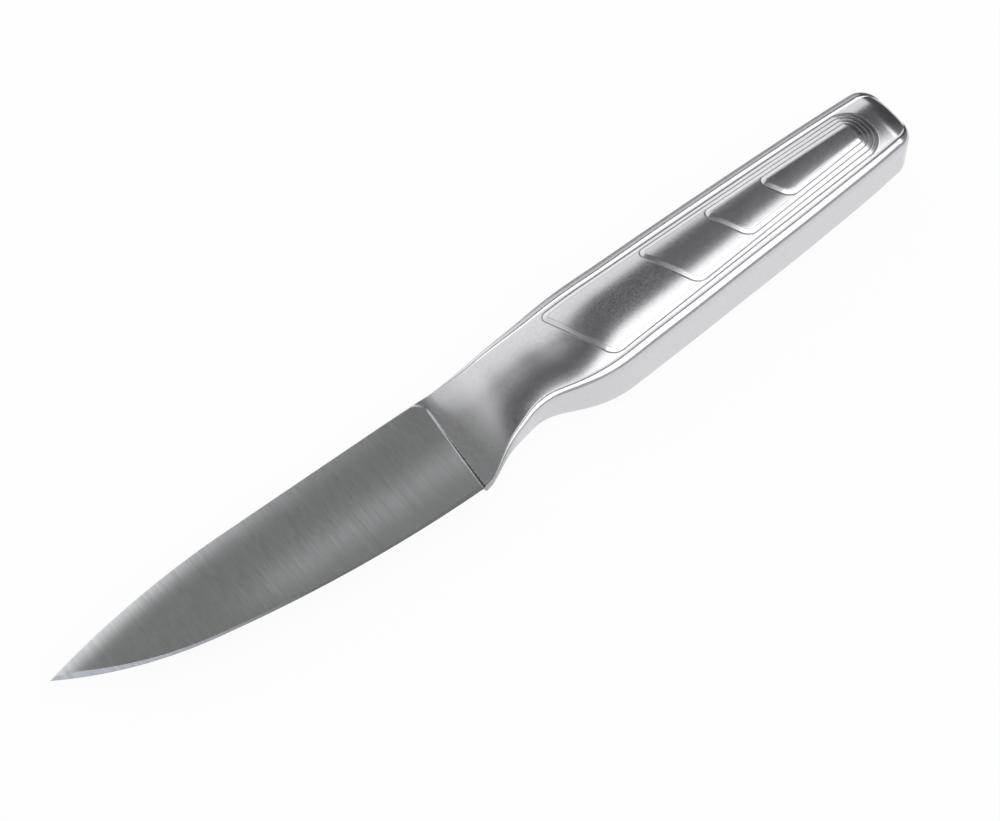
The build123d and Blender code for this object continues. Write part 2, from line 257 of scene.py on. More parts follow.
def edge_arcs():
    """Centres and radii of the edge's two arcs: the long one is level at the heel and passes through the
    knee, and the tighter one leaves it there without a kink and ends at the point."""
    knee_x, knee_y = EDGE_KNEE
    run, rise = BLADE_LENGTH - knee_x, knee_y + HEEL_DEPTH
    long_radius = (run**2 + rise**2) / (2 * rise)
    turn = math.asin(run / long_radius)
    tip_rise = -POINT_DROP - knee_y
    tip_radius = (knee_x**2 + tip_rise**2) / (2 * (tip_rise * math.cos(turn) - knee_x * math.sin(turn)))
    centre = (knee_x + tip_radius * math.sin(turn), knee_y + tip_radius * math.cos(turn))
    return (BLADE_LENGTH, long_radius - HEEL_DEPTH, long_radius), (*centre, tip_radius)


def spine_line(x):
    """Line of the blade's spine: level, and in front of the bow a circle that bends down to the point. It
    goes on level behind the blade."""
    radius = (SPINE_BOW**2 + POINT_DROP**2) / (2 * POINT_DROP)
    return np.sqrt(radius**2 - np.maximum(SPINE_BOW - x, 0) ** 2) - radius


def edge_line(x):
    """Line of the cutting edge, by the arc that holds each place: the arc's centre less the side of a
    right triangle under its radius."""
    long_arc, tip_arc = edge_arcs()
    lines = [arc[1] - np.sqrt(arc[2] ** 2 - (x - arc[0]) ** 2) for arc in (long_arc, tip_arc)]
    return np.where(x > EDGE_KNEE[0], lines[0], lines[1])


def above_edge(x, y):
    """Distance up from the cutting edge, square to it: arc radius less the distance to its centre."""
    long_arc, tip_arc = edge_arcs()
    ups = [arc[2] - np.hypot(x - arc[0], y - arc[1]) for arc in (long_arc, tip_arc)]
    return np.where(x > EDGE_KNEE[0], ups[0], ups[1])


def ground_height(x, y):
    """Half thickness of the ground plate: a plane through its heights at spine, heel and point, less the
    square of the way into a narrow strip under the spine, where the belt rolled off towards the point."""
    lean_y = (GROUND_AT_SPINE - GROUND_AT_HEEL) / HEEL_DEPTH
    start = GROUND_AT_POINT + lean_y * POINT_DROP
    spine = spine_line(x)
    strip = share_between(y, spine - BLADE_ROLL_WIDTH, spine)
    rolled = BLADE_ROLL_DEPTH * strip**2 * share_between(x, BLADE_ROLL_GONE_X, BLADE_ROLL_FULL_X)
    return start + (GROUND_AT_SPINE - start) * x / BLADE_LENGTH + lean_y * y - rolled


def ground_share(x, y):
    """How far the grind has cut, from 0 behind the plunge line to 1 a plunge radius in front of it. The
    step starts steep at the line and runs out flat, like the round shoulder of a grinding wheel: one less
    a power of what is left of the radius. The line is one corner of an outline with its rest far off."""
    far_off, square = 120.0, 0.01
    rise = (PLUNGE_SIDE[1] - PLUNGE_TOP[1]) / (PLUNGE_SIDE[0] - PLUNGE_TOP[0])
    front_x, low_y = PLUNGE_TOP[0] - far_off, PLUNGE_TOP[1] - far_off
    outline = [
        (PLUNGE_TOP[0] - PLUNGE_LEAN * far_off, low_y), PLUNGE_TOP,
        (front_x, PLUNGE_TOP[1] - rise * far_off), (front_x, low_y),
    ]
    depth = inside_rounded(outline, (square, PLUNGE_CORNER, square, square), x, y)
    return 1 - (1 - np.clip(depth / PLUNGE_RADIUS, 0, 1)) ** PLUNGE_POWER


def crowded(start, end, count, ends):
    """count places from start to end, closer together near both ends: a hyperbolic tangent, stretched so
    that it reaches them."""
    even = np.linspace(-1, 1, count)
    return start + (end - start) * (1 + np.tanh(ends * even) / math.tanh(ends)) / 2


def blade_rows():
    """Places of the rows along blade and neck: close at the point, closest round heel and plunge line,
    with two rows at the heel, where the edge ends in a small land."""
    first_row, just_behind, next_row, neck_gap = 1.0, 0.001, 0.05, 0.2
    return np.concatenate((
        POINT_ROWS,
        np.linspace(first_row, HEEL_ROWS_X, BLADE_ROWS, endpoint=False),
        np.linspace(HEEL_ROWS_X, BLADE_LENGTH, HEEL_ROWS),
        [BLADE_LENGTH + just_behind],
        np.linspace(BLADE_LENGTH + next_row, PLUNGE_ROWS_END_X, PLUNGE_ROWS),
        np.linspace(PLUNGE_ROWS_END_X + neck_gap, NECK_END_X, NECK_ROWS),
    ))


def bevel_top(x, low, spine):
    """Line where the bevel meets the ground plane: the plane's height, divided by the bevel's slope and
    turned from square to the edge to straight up, taken again until it settles."""
    tiny, least, rounds = 1e-6, 1e-3, 12
    top = low
    for _ in range(rounds):
        upright = (top - low + tiny) / (above_edge(np.minimum(x, BLADE_LENGTH), top) + tiny)
        top = np.clip(low + ground_height(x, top) / BEVEL_SLOPE * upright, low + least, spine)
    return top


def blade_half():
    """Left half of the blade's skin, from the middle of the spine over the face to the edge. Each row is a
    rounded spine corner, a face whose height is the least of plate, grind and bevel, and either the bevel
    down to the edge or, behind the heel, a rounded rim and the flat belly of the neck. Rims and corners are
    parts of a circle, and their height is that of the face beside them."""
    x = blade_rows()[:, None]
    spine, belly, rim, radius, bulge = handle_section(x)
    sharp = x <= BLADE_LENGTH
    heel_belly = np.interp(
        x, (BLADE_LENGTH, BLADE_LENGTH + HEEL_LAND, ROOT_X), (-HEEL_DEPTH, -BELLY_DEPTH, belly.min()),
    )
    heel_belly = np.where(x < ROOT_X, heel_belly, belly)
    spine = np.where(x < ROOT_X, spine_line(x), spine)
    low = np.where(sharp, edge_line(np.minimum(x, BLADE_LENGTH)), heel_belly)

    def height(x, y):
        """Half thickness at a place: the plate, cut down to the ground plane, and to the bevel if lower."""
        plate = crown_height(y, spine, np.minimum(low, spine - LEAST_CROWN_WIDTH), rim, radius, bulge)
        run_in = share_between(x, NECK_ROLL_START_X, NECK_ROLL_START_X + NECK_ROLL_RUN_IN)
        run_out = share_between(x, NECK_END_X, NECK_END_X - NECK_ROLL_RUN_OUT)
        strip = share_between(y, spine - NECK_ROLL_WIDTH, spine)
        plate = plate - NECK_ROLL_DEPTH * strip**2 * run_in * run_out
        ground = np.minimum(ground_height(x, y), plate)
        cut = plate + (ground - plate) * ground_share(x, y)
        return np.where(sharp, np.minimum(cut, np.maximum(above_edge(x, y), 0) * BEVEL_SLOPE), cut)

    corner = np.where(x < ROOT_X, np.minimum(SPINE_ROUND, (spine - low) / 4), radius)
    root_round = RIM_RADIUS * STATION_SHARES[0, 4]
    growing = SPINE_ROUND + (root_round - SPINE_ROUND) * share_between(x, ROUND_GROWS_FROM_X, ROOT_X)
    corner = np.where((x > ROUND_GROWS_FROM_X) & (x < ROOT_X), growing, corner)
    turn = math.pi / 2 + RIM_TURN * share_between(x, ROOT_X, ROOT_X + RIM_TURN_RUN_IN)
    inset = corner * (1 + np.sin(turn - math.pi / 2))
    face_high = spine - inset
    face_low = np.where(sharp, np.minimum(bevel_top(x, low, spine), spine - corner), low + inset)

    top_shares = np.linspace(0, FACE_TOP_SHARE, FACE_TOP_STEPS + 1)
    face_shares = crowded(FACE_TOP_SHARE, 1, FACE_POINTS, FACE_CROWDING)[1:]
    face_y = face_high + (face_low - face_high) * np.concatenate((top_shares, face_shares))
    face_z = height(x, face_y)

    steps = np.linspace(0, 1, BLADE_ROLL_STEPS + 1)
    rolls, belly_rolls = steps[:-1] * turn, (1 - steps[1:]) * turn
    spine_y = spine - corner * (1 - np.cos(rolls))
    spine_z = np.maximum(height(x, face_high) - corner * np.sin(turn) + corner * np.sin(rolls), 0)
    wall_y = low + corner * (1 - np.cos(belly_rolls))
    wall_z = np.maximum(height(x, face_low) - corner * np.sin(turn) + corner * np.sin(belly_rolls), 0)
    bevel_y = face_low + (low - face_low) * steps[1:]
    bevel_z = height(x, face_low) * (1 - steps[1:])
    y = np.concatenate((spine, spine_y, face_y, np.where(sharp, bevel_y, wall_y), low), axis=1)
    z = np.concatenate((0 * x, spine_z, face_z, np.where(sharp, bevel_z, wall_z), 0 * x), axis=1)
    return np.broadcast_to(x, y.shape), y, z


def both_halves(half, sign=1):
    """Full ring from the grid of a left half: the half, then its mirror image the other way round."""
    return np.concatenate((half, sign * half[:, -2:0:-1]), axis=1)


def painted_sheen_and_satin(x, y, on_neck):
    """Painted highlight where the blade's face is made lighter: a soft band along the middle of the blade
    that starts a third of the way back from the point, and a band under the spine that fades out from the
    point backwards. Both are bell curves. The front of the neck is satin, more so towards the heel, and its
    colour there is painted shade, least near the spine and most lower down."""
    band_y, band_width, band_most, band_start_x, band_full_x = -14.6, 3.8, 0.4, 30.0, 54.0
    spine_width, spine_full_x, spine_gone_x = 2.8, 18.75, 93.75
    painted_middle_highlight = band_most * ridge(y - band_y, band_width)
    painted_middle_highlight = painted_middle_highlight * eased(share_between(x, band_start_x, band_full_x))
    painted_spine_highlight = ridge(y - spine_line(x), spine_width) * share_between(x, spine_gone_x, spine_full_x)
    satin_gone_x, satin_full_x = NECK_END_X - 2.0, NECK_END_X - 9.0
    satin_least, satin_top_y, satin_low_y = 0.45, -3.0, -10.0
    satin_and_shade = eased(share_between(x, satin_gone_x, satin_full_x))
    low_down = satin_least + (1 - satin_least) * share_between(y, satin_top_y, satin_low_y)
    return np.where(on_neck, satin_and_shade * low_down, np.maximum(painted_middle_highlight, painted_spine_highlight))


def stretched_noise(group, scale, detail):
    """Noise whose grains are as fine along each axis as that axis's scale says."""
    place = group.nodes.new("ShaderNodeTexCoord")
    stretch = group.nodes.new("ShaderNodeMapping")
    stretch.inputs["Scale"].default_value = scale
    noise = group.nodes.new("ShaderNodeTexNoise")
    noise.inputs["Scale"].default_value = 1
    noise.inputs["Detail"].default_value = detail
    group.links.new(place.outputs["Object"], stretch.inputs["Vector"])
    group.links.new(stretch.outputs["Vector"], noise.inputs["Vector"])
    return noise.outputs["Fac"]


def surface_group(name, noises):
    """Node group with one output per noise, and the piece's shade value, which paints light and shade into
    the colour.
    """
    group = bpy.data.node_groups.new(name, "ShaderNodeTree")
    out = group.nodes.new("NodeGroupOutput")
    for label, (scale, detail) in noises.items():
        group.interface.new_socket(label, in_out="OUTPUT", socket_type="NodeSocketFloat")
        group.links.new(stretched_noise(group, scale, detail), out.inputs[label])
    group.interface.new_socket("Shade", in_out="OUTPUT", socket_type="NodeSocketFloat")
    shade = group.nodes.new("ShaderNodeAttribute")
    shade.attribute_name = "shade"
    group.links.new(shade.outputs["Fac"], out.inputs["Shade"])
    return group


def mapped(tree, value, low, high, start=0.3, end=0.7):
    """Value of a node, moved from its range, which for a noise is start to end, to low and high."""
    node = tree.nodes.new("ShaderNodeMapRange")
    for label, number in (("From Min", start), ("From Max", end), ("To Min", low), ("To Max", high)):
        node.inputs[label].default_value = number
    tree.links.new(value, node.inputs["Value"])
    return node.outputs["Result"]


def blended(tree, share, plain, painted_or_worn):
    """Colour between two, each of which is a plain colour or another node's."""
    node = tree.nodes.new("ShaderNodeMix")
    node.data_type = "RGBA"
    for label, colour in (("A", plain), ("B", painted_or_worn)):
        if isinstance(colour, tuple):
            node.inputs[label].default_value = (*colour, 1)
        else:
            tree.links.new(colour, node.inputs[label])
    tree.links.new(share, node.inputs["Factor"])
    return node.outputs["Result"]


def steel(name, surface, plain, painted_or_worn, worn, roughness, shade_roughness, bump, anisotropy=0):
    """Bare stainless steel. The shade value turns the plain colour and roughness into a second colour and
    roughness: the colour change is painted light and shade, the roughness change is real.
    The first noise adds some of the worn colour, and the second sets the roughness and the bump."""
    most_worn, relief_depth = 0.3, 0.02 * MM
    material = bpy.data.materials.new(name)
    material.use_nodes = True
    tree = material.node_tree
    shader = tree.nodes["Principled BSDF"]
    shader.inputs["Metallic"].default_value = 1
    shader.inputs["Anisotropic"].default_value = anisotropy
    lengthwise = tree.nodes.new("ShaderNodeCombineXYZ")
    lengthwise.inputs["X"].default_value = 1
    tree.links.new(lengthwise.outputs["Vector"], shader.inputs["Tangent"])
    group = tree.nodes.new("ShaderNodeGroup")
    group.node_tree = surface
    broad, fine, shade = group.outputs
    colour = blended(tree, shade, plain, painted_or_worn)
    colour = blended(tree, mapped(tree, broad, 0, most_worn), colour, worn)
    tree.links.new(colour, shader.inputs["Base Color"])
    rough = tree.nodes.new("ShaderNodeMix")
    rough.inputs["B"].default_value = shade_roughness
    tree.links.new(shade, rough.inputs["Factor"])
    tree.links.new(mapped(tree, fine, *roughness), rough.inputs["A"])
    tree.links.new(rough.outputs["Result"], shader.inputs["Roughness"])
    relief = tree.nodes.new("ShaderNodeBump")
    relief.inputs["Strength"].default_value = bump
    relief.inputs["Distance"].default_value = relief_depth
    tree.links.new(fine, relief.inputs["Height"])
    tree.links.new(relief.outputs["Normal"], shader.inputs["Normal"])
    return material


half_x, half_y, half_z = blade_half()
blade_x, blade_y, blade_z = both_halves(half_x), both_halves(half_y), both_halves(half_z, -1)
on_neck = ground_share(blade_x, blade_y) < NECK_GROUND_SHARE
face_start, face_end = BLADE_ROLL_STEPS + 1, half_x.shape[1] - BLADE_ROLL_STEPS - 2
blade_creases = (face_start, face_end, -face_start, -face_end)
edge_columns = np.arange(face_end, face_end + 2 * (BLADE_ROLL_STEPS + 1))

# Painted light on the bevel: its shade value is 1 near the point, for a painted highlight, and falls to 0 by
# the middle of the blade, behind which its dark plain colour is painted shade.
edge_full_x, edge_gone_x = 4.5, 49.5
edge_x = blade_x[:, edge_columns]
# Shade values per point: painted highlight on the blade's face and painted shade on the satin neck.
blade_shade = painted_sheen_and_satin(blade_x, blade_y, on_neck)
blade_shade[:, edge_columns] = np.where(
    edge_x < BLADE_LENGTH, share_between(edge_x, edge_gone_x, edge_full_x), blade_shade[:, edge_columns],
)
blade = steel_skin("ground_blade", blade_x, blade_y, blade_z, blade_shade, blade_creases)

belt_surface = surface_group("belt_scratches", {
    "Streaks": ((2200, 60, 60), 3),
    "Scratches": ((4000, 400, 400), 3),
})
polish_surface = surface_group("polish_wear", {
    "Haze": ((1800, 1800, 1800), 4),
    "Grain": ((3000, 5000, 5000), 2),
})
# The ground steel's lighter, bluish second colour is a painted highlight, laid on by the blade's sheen
# values.
ground_steel = steel(
    "ground_steel", belt_surface,
    plain=(0.33, 0.34, 0.33), painted_or_worn=(0.80, 0.82, 0.83), worn=(0.26, 0.27, 0.26),
    roughness=(0.30, 0.36), shade_roughness=0.33, bump=0.04, anisotropy=0.6,
)
# The neck steel's darker second colour is painted shade on the satin front of the neck; its rougher finish
# there is real.
neck_steel = steel(
    "neck_steel", polish_surface,
    plain=(0.63, 0.63, 0.645), painted_or_worn=(0.33, 0.335, 0.33), worn=(0.50, 0.50, 0.515),
    roughness=(0.14, 0.20), shade_roughness=0.27, bump=0.05,
)
# The honed steel's dark plain colour is painted shade along the bevel, and its lighter, bluish second colour
# is a painted highlight near the point.
honed_steel = steel(
    "honed_steel", belt_surface,
    plain=(0.09, 0.093, 0.096), painted_or_worn=(0.36, 0.37, 0.40), worn=(0.08, 0.082, 0.085),
    roughness=(0.30, 0.38), shade_roughness=0.32, bump=0.02,
)
for material in (ground_steel, neck_steel, honed_steel):
    blade.data.materials.append(material)
blade_slots = np.where(on_neck[:-1], NECK, GROUND)
edge_rows = np.nonzero(half_x[:-1, 0] < BLADE_LENGTH)[0]
blade_slots[np.ix_(edge_rows, edge_columns)] = HONED
face_slots = np.concatenate((blade_slots.ravel(), [GROUND, NECK])).astype(np.int32)
blade.data.polygons.foreach_set("material_index", face_slots)
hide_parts("blade")
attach(blade, "root")


# Handle shells: the two halves of the hollow handle, pressed from stainless sheet with four terraces on
# each side, one on top of the other, then welded along their edges and polished.
TERRACE_HEIGHT = 0.28
TERRACE_PITCH = 1.1
SPINE_MARGIN = 2.75
BELLY_MARGIN = 2.75
BUTT_MARGIN = 6.7
END_RADIUS = 5.2
CHIN_RADIUS = 3.2
FRONT_RADIUS = 1.3
FRONT_SLANT = 0.41
FRONT_SHARES = (0.237, 0.444, 0.583, 0.701)
TERRACES = range(len(FRONT_SHARES))
HALF_WELD = 0.8
RISER_WIDTH = 0.84
GUTTER_PLACE = -0.06
GUTTER_WIDTH = 0.11
GROOVE_PLACE = 0.92

# Points across a shell's ring, and places of its rows: even, close over each front, closest at the butt.
RIM_ROLL_STEPS = 14
WALL_SHARES = (0, 0.35, 0.7)
SIDE_COLUMNS = len(WALL_SHARES) + RIM_ROLL_STEPS
CROWN_COUNTS = (5, 16, 16, 16, 16, 14, 26, 16, 16, 16, 5)
SADDLE_INSETS = (1.3, 3.2)
ROW_STEP = 0.9
FRONT_ROW_STEPS = (0.07, 0.22)
FRONT_ROW_REACHES = (-0.7, 0.9, 5.5)
BUTT_ROW_STEP = 0.09
BUTT_ROWS_X = BUTT_START_X - 8.8
CORNER_ROWS_X = BUTT_START_X - 0.9
CORNER_ROWS = 6
LEVEL_RINGS_X = BUTT_START_X - 0.5
LEAN_END_X = BUTT_START_X - 10.3
LEAN_RUN_IN = 8.0
LEAN_RUN_OUT = 9.0


def terrace_corners(number):
    """Chin, two butt corners and front corner of a terrace: set in from the handle's spine and belly
    sides, with a front that leans back towards the belly."""
    rim = TERRACE_PITCH * number
    front_x = ROOT_X + (OVERALL_LENGTH - ROOT_X) * FRONT_SHARES[number]
    end_x = OVERALL_LENGTH - BUTT_MARGIN - rim
    spine, belly = (float(side[0]) for side in handle_section(np.array([front_x]))[:2])
    front_y = spine - SPINE_MARGIN - rim
    chin_x = front_x + FRONT_SLANT * (front_y - belly - BELLY_MARGIN - rim)
    chin_y = float(handle_section(np.array([chin_x]))[1][0]) + BELLY_MARGIN + rim
    end_spine, end_belly = (float(side[0]) for side in handle_section(np.array([end_x]))[:2])
    return (
        (chin_x, chin_y), (end_x, end_belly + BELLY_MARGIN + rim),
        (end_x, end_spine - SPINE_MARGIN - rim), (front_x, front_y),
    )


def terrace_depth(number, x, y):
    """Distance in from a terrace's outline."""
    end_radius = END_RADIUS - TERRACE_PITCH * number
    return inside_rounded(terrace_corners(number), (CHIN_RADIUS, end_radius, end_radius, FRONT_RADIUS), x, y)


def step_rise(depth):
    """Height of one pressed step, as a share: a straight slanting riser, less one bell curve for the small
    gutter at its foot and another for the faint groove behind its shoulder."""
    gutter_depth, groove_depth, groove_width = 0.16, 0.08, 0.08
    gutter = gutter_depth * ridge(depth - GUTTER_PLACE, GUTTER_WIDTH)
    groove = groove_depth * ridge(depth - GROOVE_PLACE, groove_width)
    return share_between(depth, 0, RISER_WIDTH) - gutter - groove


def painted_step_shade(depth):
    """Painted shade: dark lines along a step, in the gutter, fainter in the groove and faintest half way up.
    Each is a bell curve, and the strongest counts."""
    groove_shade, groove_width = 0.5, 0.07
    riser_shade, riser_place, riser_width = 0.2, 0.45, 0.06
    gutter = ridge(depth - GUTTER_PLACE, GUTTER_WIDTH)
    groove = groove_shade * ridge(depth - GROOVE_PLACE, groove_width)
    riser = riser_shade * ridge(depth - riser_place, riser_width)
    return np.maximum(np.maximum(gutter, groove), riser)


def shell_rows(fronts):
    """Places of a shell's rows: a fine comb over the front of each terrace and before the butt, an even
    one elsewhere, and a quarter circle's sines round the butt. Rows too close to the last are left out."""
    places = [np.arange(SHELL_START_X, CORNER_ROWS_X, ROW_STEP)]
    before, after, far_after = FRONT_ROW_REACHES
    fine, coarse = FRONT_ROW_STEPS
    for chin, _, _, front in fronts:
        middle = (chin[0] + front[0]) / 2
        places.append(np.arange(middle + before, middle + after, fine))
        places.append(np.arange(middle + after, middle + far_after, coarse))
    places.append(np.arange(BUTT_ROWS_X, CORNER_ROWS_X, BUTT_ROW_STEP))
    places.append(np.linspace(CORNER_ROWS_X, BUTT_START_X, CORNER_ROWS))
    least_gap, decimals = 0.05, 3
    rows = np.unique(np.round(np.concatenate(places), decimals))
    rows = rows[np.concatenate(([True], np.diff(rows) > least_gap))]
    turns = np.linspace(0, math.pi / 2, RIM_ROLL_STEPS + 1)[1:]
    return np.concatenate((rows, BUTT_START_X + BUTT_CORNER * np.sin(turns)))


def shell_side(rim_x, side_index):
    """Weld edge, wall and rolled rim of a shell on its spine side (0) or belly side (1): straight up the
    wall, then round the rim by a circle that turns past level by the rim's turn."""
    section = handle_section(rim_x)
    outer, rim, radius = section[side_index], section[2], section[3]
    sign = 1 - 2 * side_index
    rolls = np.linspace(0, math.pi / 2 + RIM_TURN, RIM_ROLL_STEPS + 1)[None, :-1]
    roll_y = outer - sign * radius * (1 - np.cos(rolls))
    roll_z = rim - radius + radius * np.sin(rolls)
    wall_z = HALF_WELD + (rim - radius - HALF_WELD) * np.array([WALL_SHARES])
    wall_y = np.broadcast_to(outer, wall_z.shape)
    side_x = np.broadcast_to(rim_x, (len(rim_x), SIDE_COLUMNS))
    return side_x, np.concatenate((wall_y, roll_y), axis=1), np.concatenate((wall_z, roll_z), axis=1)


def rim_satin_and_shade(u):
    """Satin on the roll of the spine rim, as a shade value: a real rougher finish with painted shade that
    darkens the rim. None on the wall and at the face, and none at the neck, from where it grows over some
    millimetres."""
    most, run_in, edge_run = 0.8, 25.0, 3.0
    column = np.arange(SIDE_COLUMNS)
    wall_end, face_edge = len(WALL_SHARES) - 0.5, SIDE_COLUMNS - 2.5
    on_roll = share_between(column, wall_end, wall_end + edge_run)
    on_roll = on_roll * share_between(column, face_edge, face_edge - edge_run)
    return most * on_roll * share_between(u, SHELL_START_X, SHELL_START_X + run_in)


def shell_grid():
    """Ring grid of the left shell. Rows lean with the fronts of the terraces and crowd at their steps.
    Each ring climbs the spine wall, rolls over the rim, crosses the face with its terraces, rolls over
    the belly rim and comes down the belly wall. Round the butt the rows shrink by a quarter circle."""
    fronts = [terrace_corners(number) for number in TERRACES]
    u = shell_rows(fronts)[:, None]
    leaning = share_between(u, SHELL_START_X, SHELL_START_X + LEAN_RUN_IN)
    lean = FRONT_SLANT * eased(leaning * share_between(u, LEAN_END_X, LEAN_END_X - LEAN_RUN_OUT))
    middle_u = sum(handle_section(u)[:2]) / 2

    def crease_line(side_index, sign):
        """Where a leaning row meets the crease inside a rim: the crease at the row's own x there, taken
        again until it settles."""
        rounds = 8
        end = handle_section(u)[side_index]
        for _ in range(rounds):
            section = handle_section(u + lean * (middle_u - end))
            end = section[side_index] - sign * section[3] * (1 + math.sin(RIM_TURN))
        return end

    def step_lines(end, margin, sign):
        """Lines of points that the terraces' long sides follow: straight from front to butt, and in front
        of that beside the crease."""
        line_run_in = 6.0
        rim_in = handle_section(u)[3] * (1 + math.sin(RIM_TURN))
        kept = []
        for number, corners in enumerate(fronts):
            first, last = (corners[3], corners[2]) if sign > 0 else (corners[0], corners[1])
            straight = first[1] + (last[1] - first[1]) * (u - first[0]) / (last[0] - first[0])
            follow = end - sign * (margin + TERRACE_PITCH * number - rim_in)
            near = eased(share_between(u, first[0] - line_run_in, first[0]))
            kept.append(follow + (straight - follow) * near)
        return kept

    spine_end, belly_end = crease_line(0, 1), crease_line(1, -1)
    high_lines = step_lines(spine_end, SPINE_MARGIN, 1)
    low_lines = step_lines(belly_end, BELLY_MARGIN, -1)
    saddle = [high_lines[3] - SADDLE_INSETS[0], low_lines[3] + SADDLE_INSETS[1]]
    knots = [spine_end, *high_lines, *saddle, *low_lines[::-1], belly_end]
    shares = [np.linspace(0, 1, count, endpoint=False)[None, :] for count in CROWN_COUNTS]
    stretches = [a + (b - a) * s for a, b, s in zip(knots, knots[1:], shares)]
    across = np.concatenate((*stretches, knots[-1]), axis=1)

    x = u + lean * (middle_u - across)
    spine, belly, rim, radius, bulge = handle_section(x)
    roll = radius * (1 + math.sin(RIM_TURN))
    share = (across - across[:, -1:]) / (across[:, :1] - across[:, -1:])
    y = np.where(u > LEVEL_RINGS_X, belly + roll + (spine - belly - 2 * roll) * share, across)
    y = np.clip(y, belly + roll, spine - roll)
    z = crown_height(y, spine, belly, rim, radius, bulge)
    # Painted shade: dark lines along each terrace step.
    shade = np.zeros_like(z)
    for number in TERRACES:
        depth = terrace_depth(number, x, y)
        z = z + TERRACE_HEIGHT * step_rise(depth)
        shade = np.maximum(shade, painted_step_shade(depth))

    spine_side, belly_side = shell_side(x[:, :1], 0), shell_side(x[:, -1:], 1)
    ring = [np.concatenate((a, b, c[:, ::-1]), axis=1) for a, b, c in zip(spine_side, (x, y, z), belly_side)]
    return ring, np.concatenate((rim_satin_and_shade(u), shade, np.zeros((len(u), SIDE_COLUMNS))), axis=1)


(shell_x, shell_y, shell_z), shell_shade = shell_grid()
shell_creases = (SIDE_COLUMNS, -SIDE_COLUMNS - 1)
turned_round = (slice(None), slice(None, None, -1))
shells = [
    steel_skin("pressed_shell_left", shell_x, shell_y, shell_z, shell_shade, shell_creases),
    steel_skin(
        "pressed_shell_right", shell_x[turned_round], shell_y[turned_round], -shell_z[turned_round],
        shell_shade[turned_round], shell_creases,
    ),
]
# The polished steel's nearly black second colour is painted shade: dark lines along the terrace steps, and a
# darker band on the spine rim, whose rougher finish is real.
polished_steel = steel(
    "polished_steel", polish_surface, plain=(0.64, 0.64, 0.655), painted_or_worn=(0.10, 0.10, 0.105),
    worn=(0.50, 0.50, 0.515), roughness=(0.14, 0.20), shade_roughness=0.34, bump=0.04,
)
for shell, node in zip(shells, ("handle_shell_left", "handle_shell_right")):
    shell.data.materials.append(polished_steel)
    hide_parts(node)
    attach(shell, "root")


# Welds: the ring that joins the shells to the neck, and the two seams that join them to each other along
# the spine and the belly and meet in the middle of the butt. They are ground flush and polished over.
SHEET = 1.4
RING_ROWS = 8
RING_FACE_POINTS = 60
SEAM_ROWS = 160


def neck_ring():
    """Ring grid of the neck weld: the handle's own section, unchanged, over the width of the weld."""
    x = np.linspace(NECK_END_X, SHELL_START_X, RING_ROWS)[:, None]
    spine, belly, rim, radius, bulge = handle_section(x)
    rolls = np.linspace(0, math.pi / 2 + RIM_TURN, RIM_ROLL_STEPS + 1)[None, :-1]
    roll = radius * (1 + math.sin(RIM_TURN))
    face_y = spine - roll + (belly - spine + 2 * roll) * np.linspace(0, 1, RING_FACE_POINTS)[None, :]
    face_z = crown_height(face_y, spine, belly, rim, radius, bulge)
    roll_in = radius * (1 - np.cos(rolls))
    roll_z = rim - radius + radius * np.sin(rolls)
    half_y = np.concatenate((spine, spine - roll_in, face_y, (belly + roll_in)[:, ::-1], belly), axis=1)
    half_z = np.concatenate((0 * x, roll_z, face_z, roll_z[:, ::-1], 0 * x), axis=1)
    y = both_halves(half_y)
    return np.broadcast_to(x, y.shape), y, both_halves(half_z, -1)


def seam_strip(side_index):
    """Ring grid of a seam: a flat strip that follows one side of the handle, round the corner of the butt
    and across the butt to its middle, as wide as the weld and as deep as the sheet. The depth is laid off
    square to the side's run."""
    sign = 1 - 2 * side_index
    turns = np.linspace(0, math.pi / 2, RIM_ROLL_STEPS + 1)[1:]
    along = np.linspace(SHELL_START_X, BUTT_START_X, SEAM_ROWS)
    x = np.concatenate((along, BUTT_START_X + BUTT_CORNER * np.sin(turns), [OVERALL_LENGTH]))
    sides = handle_section(x)[:2]
    y = sides[side_index]
    y[-1] = (sides[0][-1] + sides[1][-1]) / 2
    run_x, run_y = np.gradient(x), np.gradient(y)
    length = np.hypot(run_x, run_y)
    in_x, in_y = sign * SHEET * run_y / length, -sign * SHEET * run_x / length
    in_x[-1], in_y[-1] = -SHEET, 0
    edge = np.array([-HALF_WELD, -HALF_WELD / 3, HALF_WELD / 3, HALF_WELD, HALF_WELD, -HALF_WELD])
    inner = np.array([0, 0, 0, 0, 1, 1])
    grid_x = x[:, None] + in_x[:, None] * inner
    grid_y = y[:, None] + in_y[:, None] * inner
    grid_z = np.broadcast_to(edge * sign, grid_x.shape)
    return grid_x, grid_y, grid_z


ring_start = RIM_ROLL_STEPS + 1
ring_end = RIM_ROLL_STEPS + RING_FACE_POINTS
ring_creases = (ring_start, ring_end, -ring_start, -ring_end)
welds = {
    "neck_weld": steel_skin("flush_neck_weld", *neck_ring(), 0, ring_creases),
    "spine_seam_weld": steel_skin("flush_spine_seam", *seam_strip(0), 0),
    "belly_seam_weld": steel_skin("flush_belly_seam", *seam_strip(1), 0),
}
for node, weld in welds.items():
    weld.data.materials.append(polished_steel)
    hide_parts(node)
    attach(weld, "root")


# Camera: the photograph's view of the knife, from above its cutting edge and its point, with a long lens.
CAMERA_AZIMUTH = math.radians(-38.1241)
CAMERA_ELEVATION = math.radians(60)
CAMERA_PLACE = (-184.48, -232.80, 520.23)

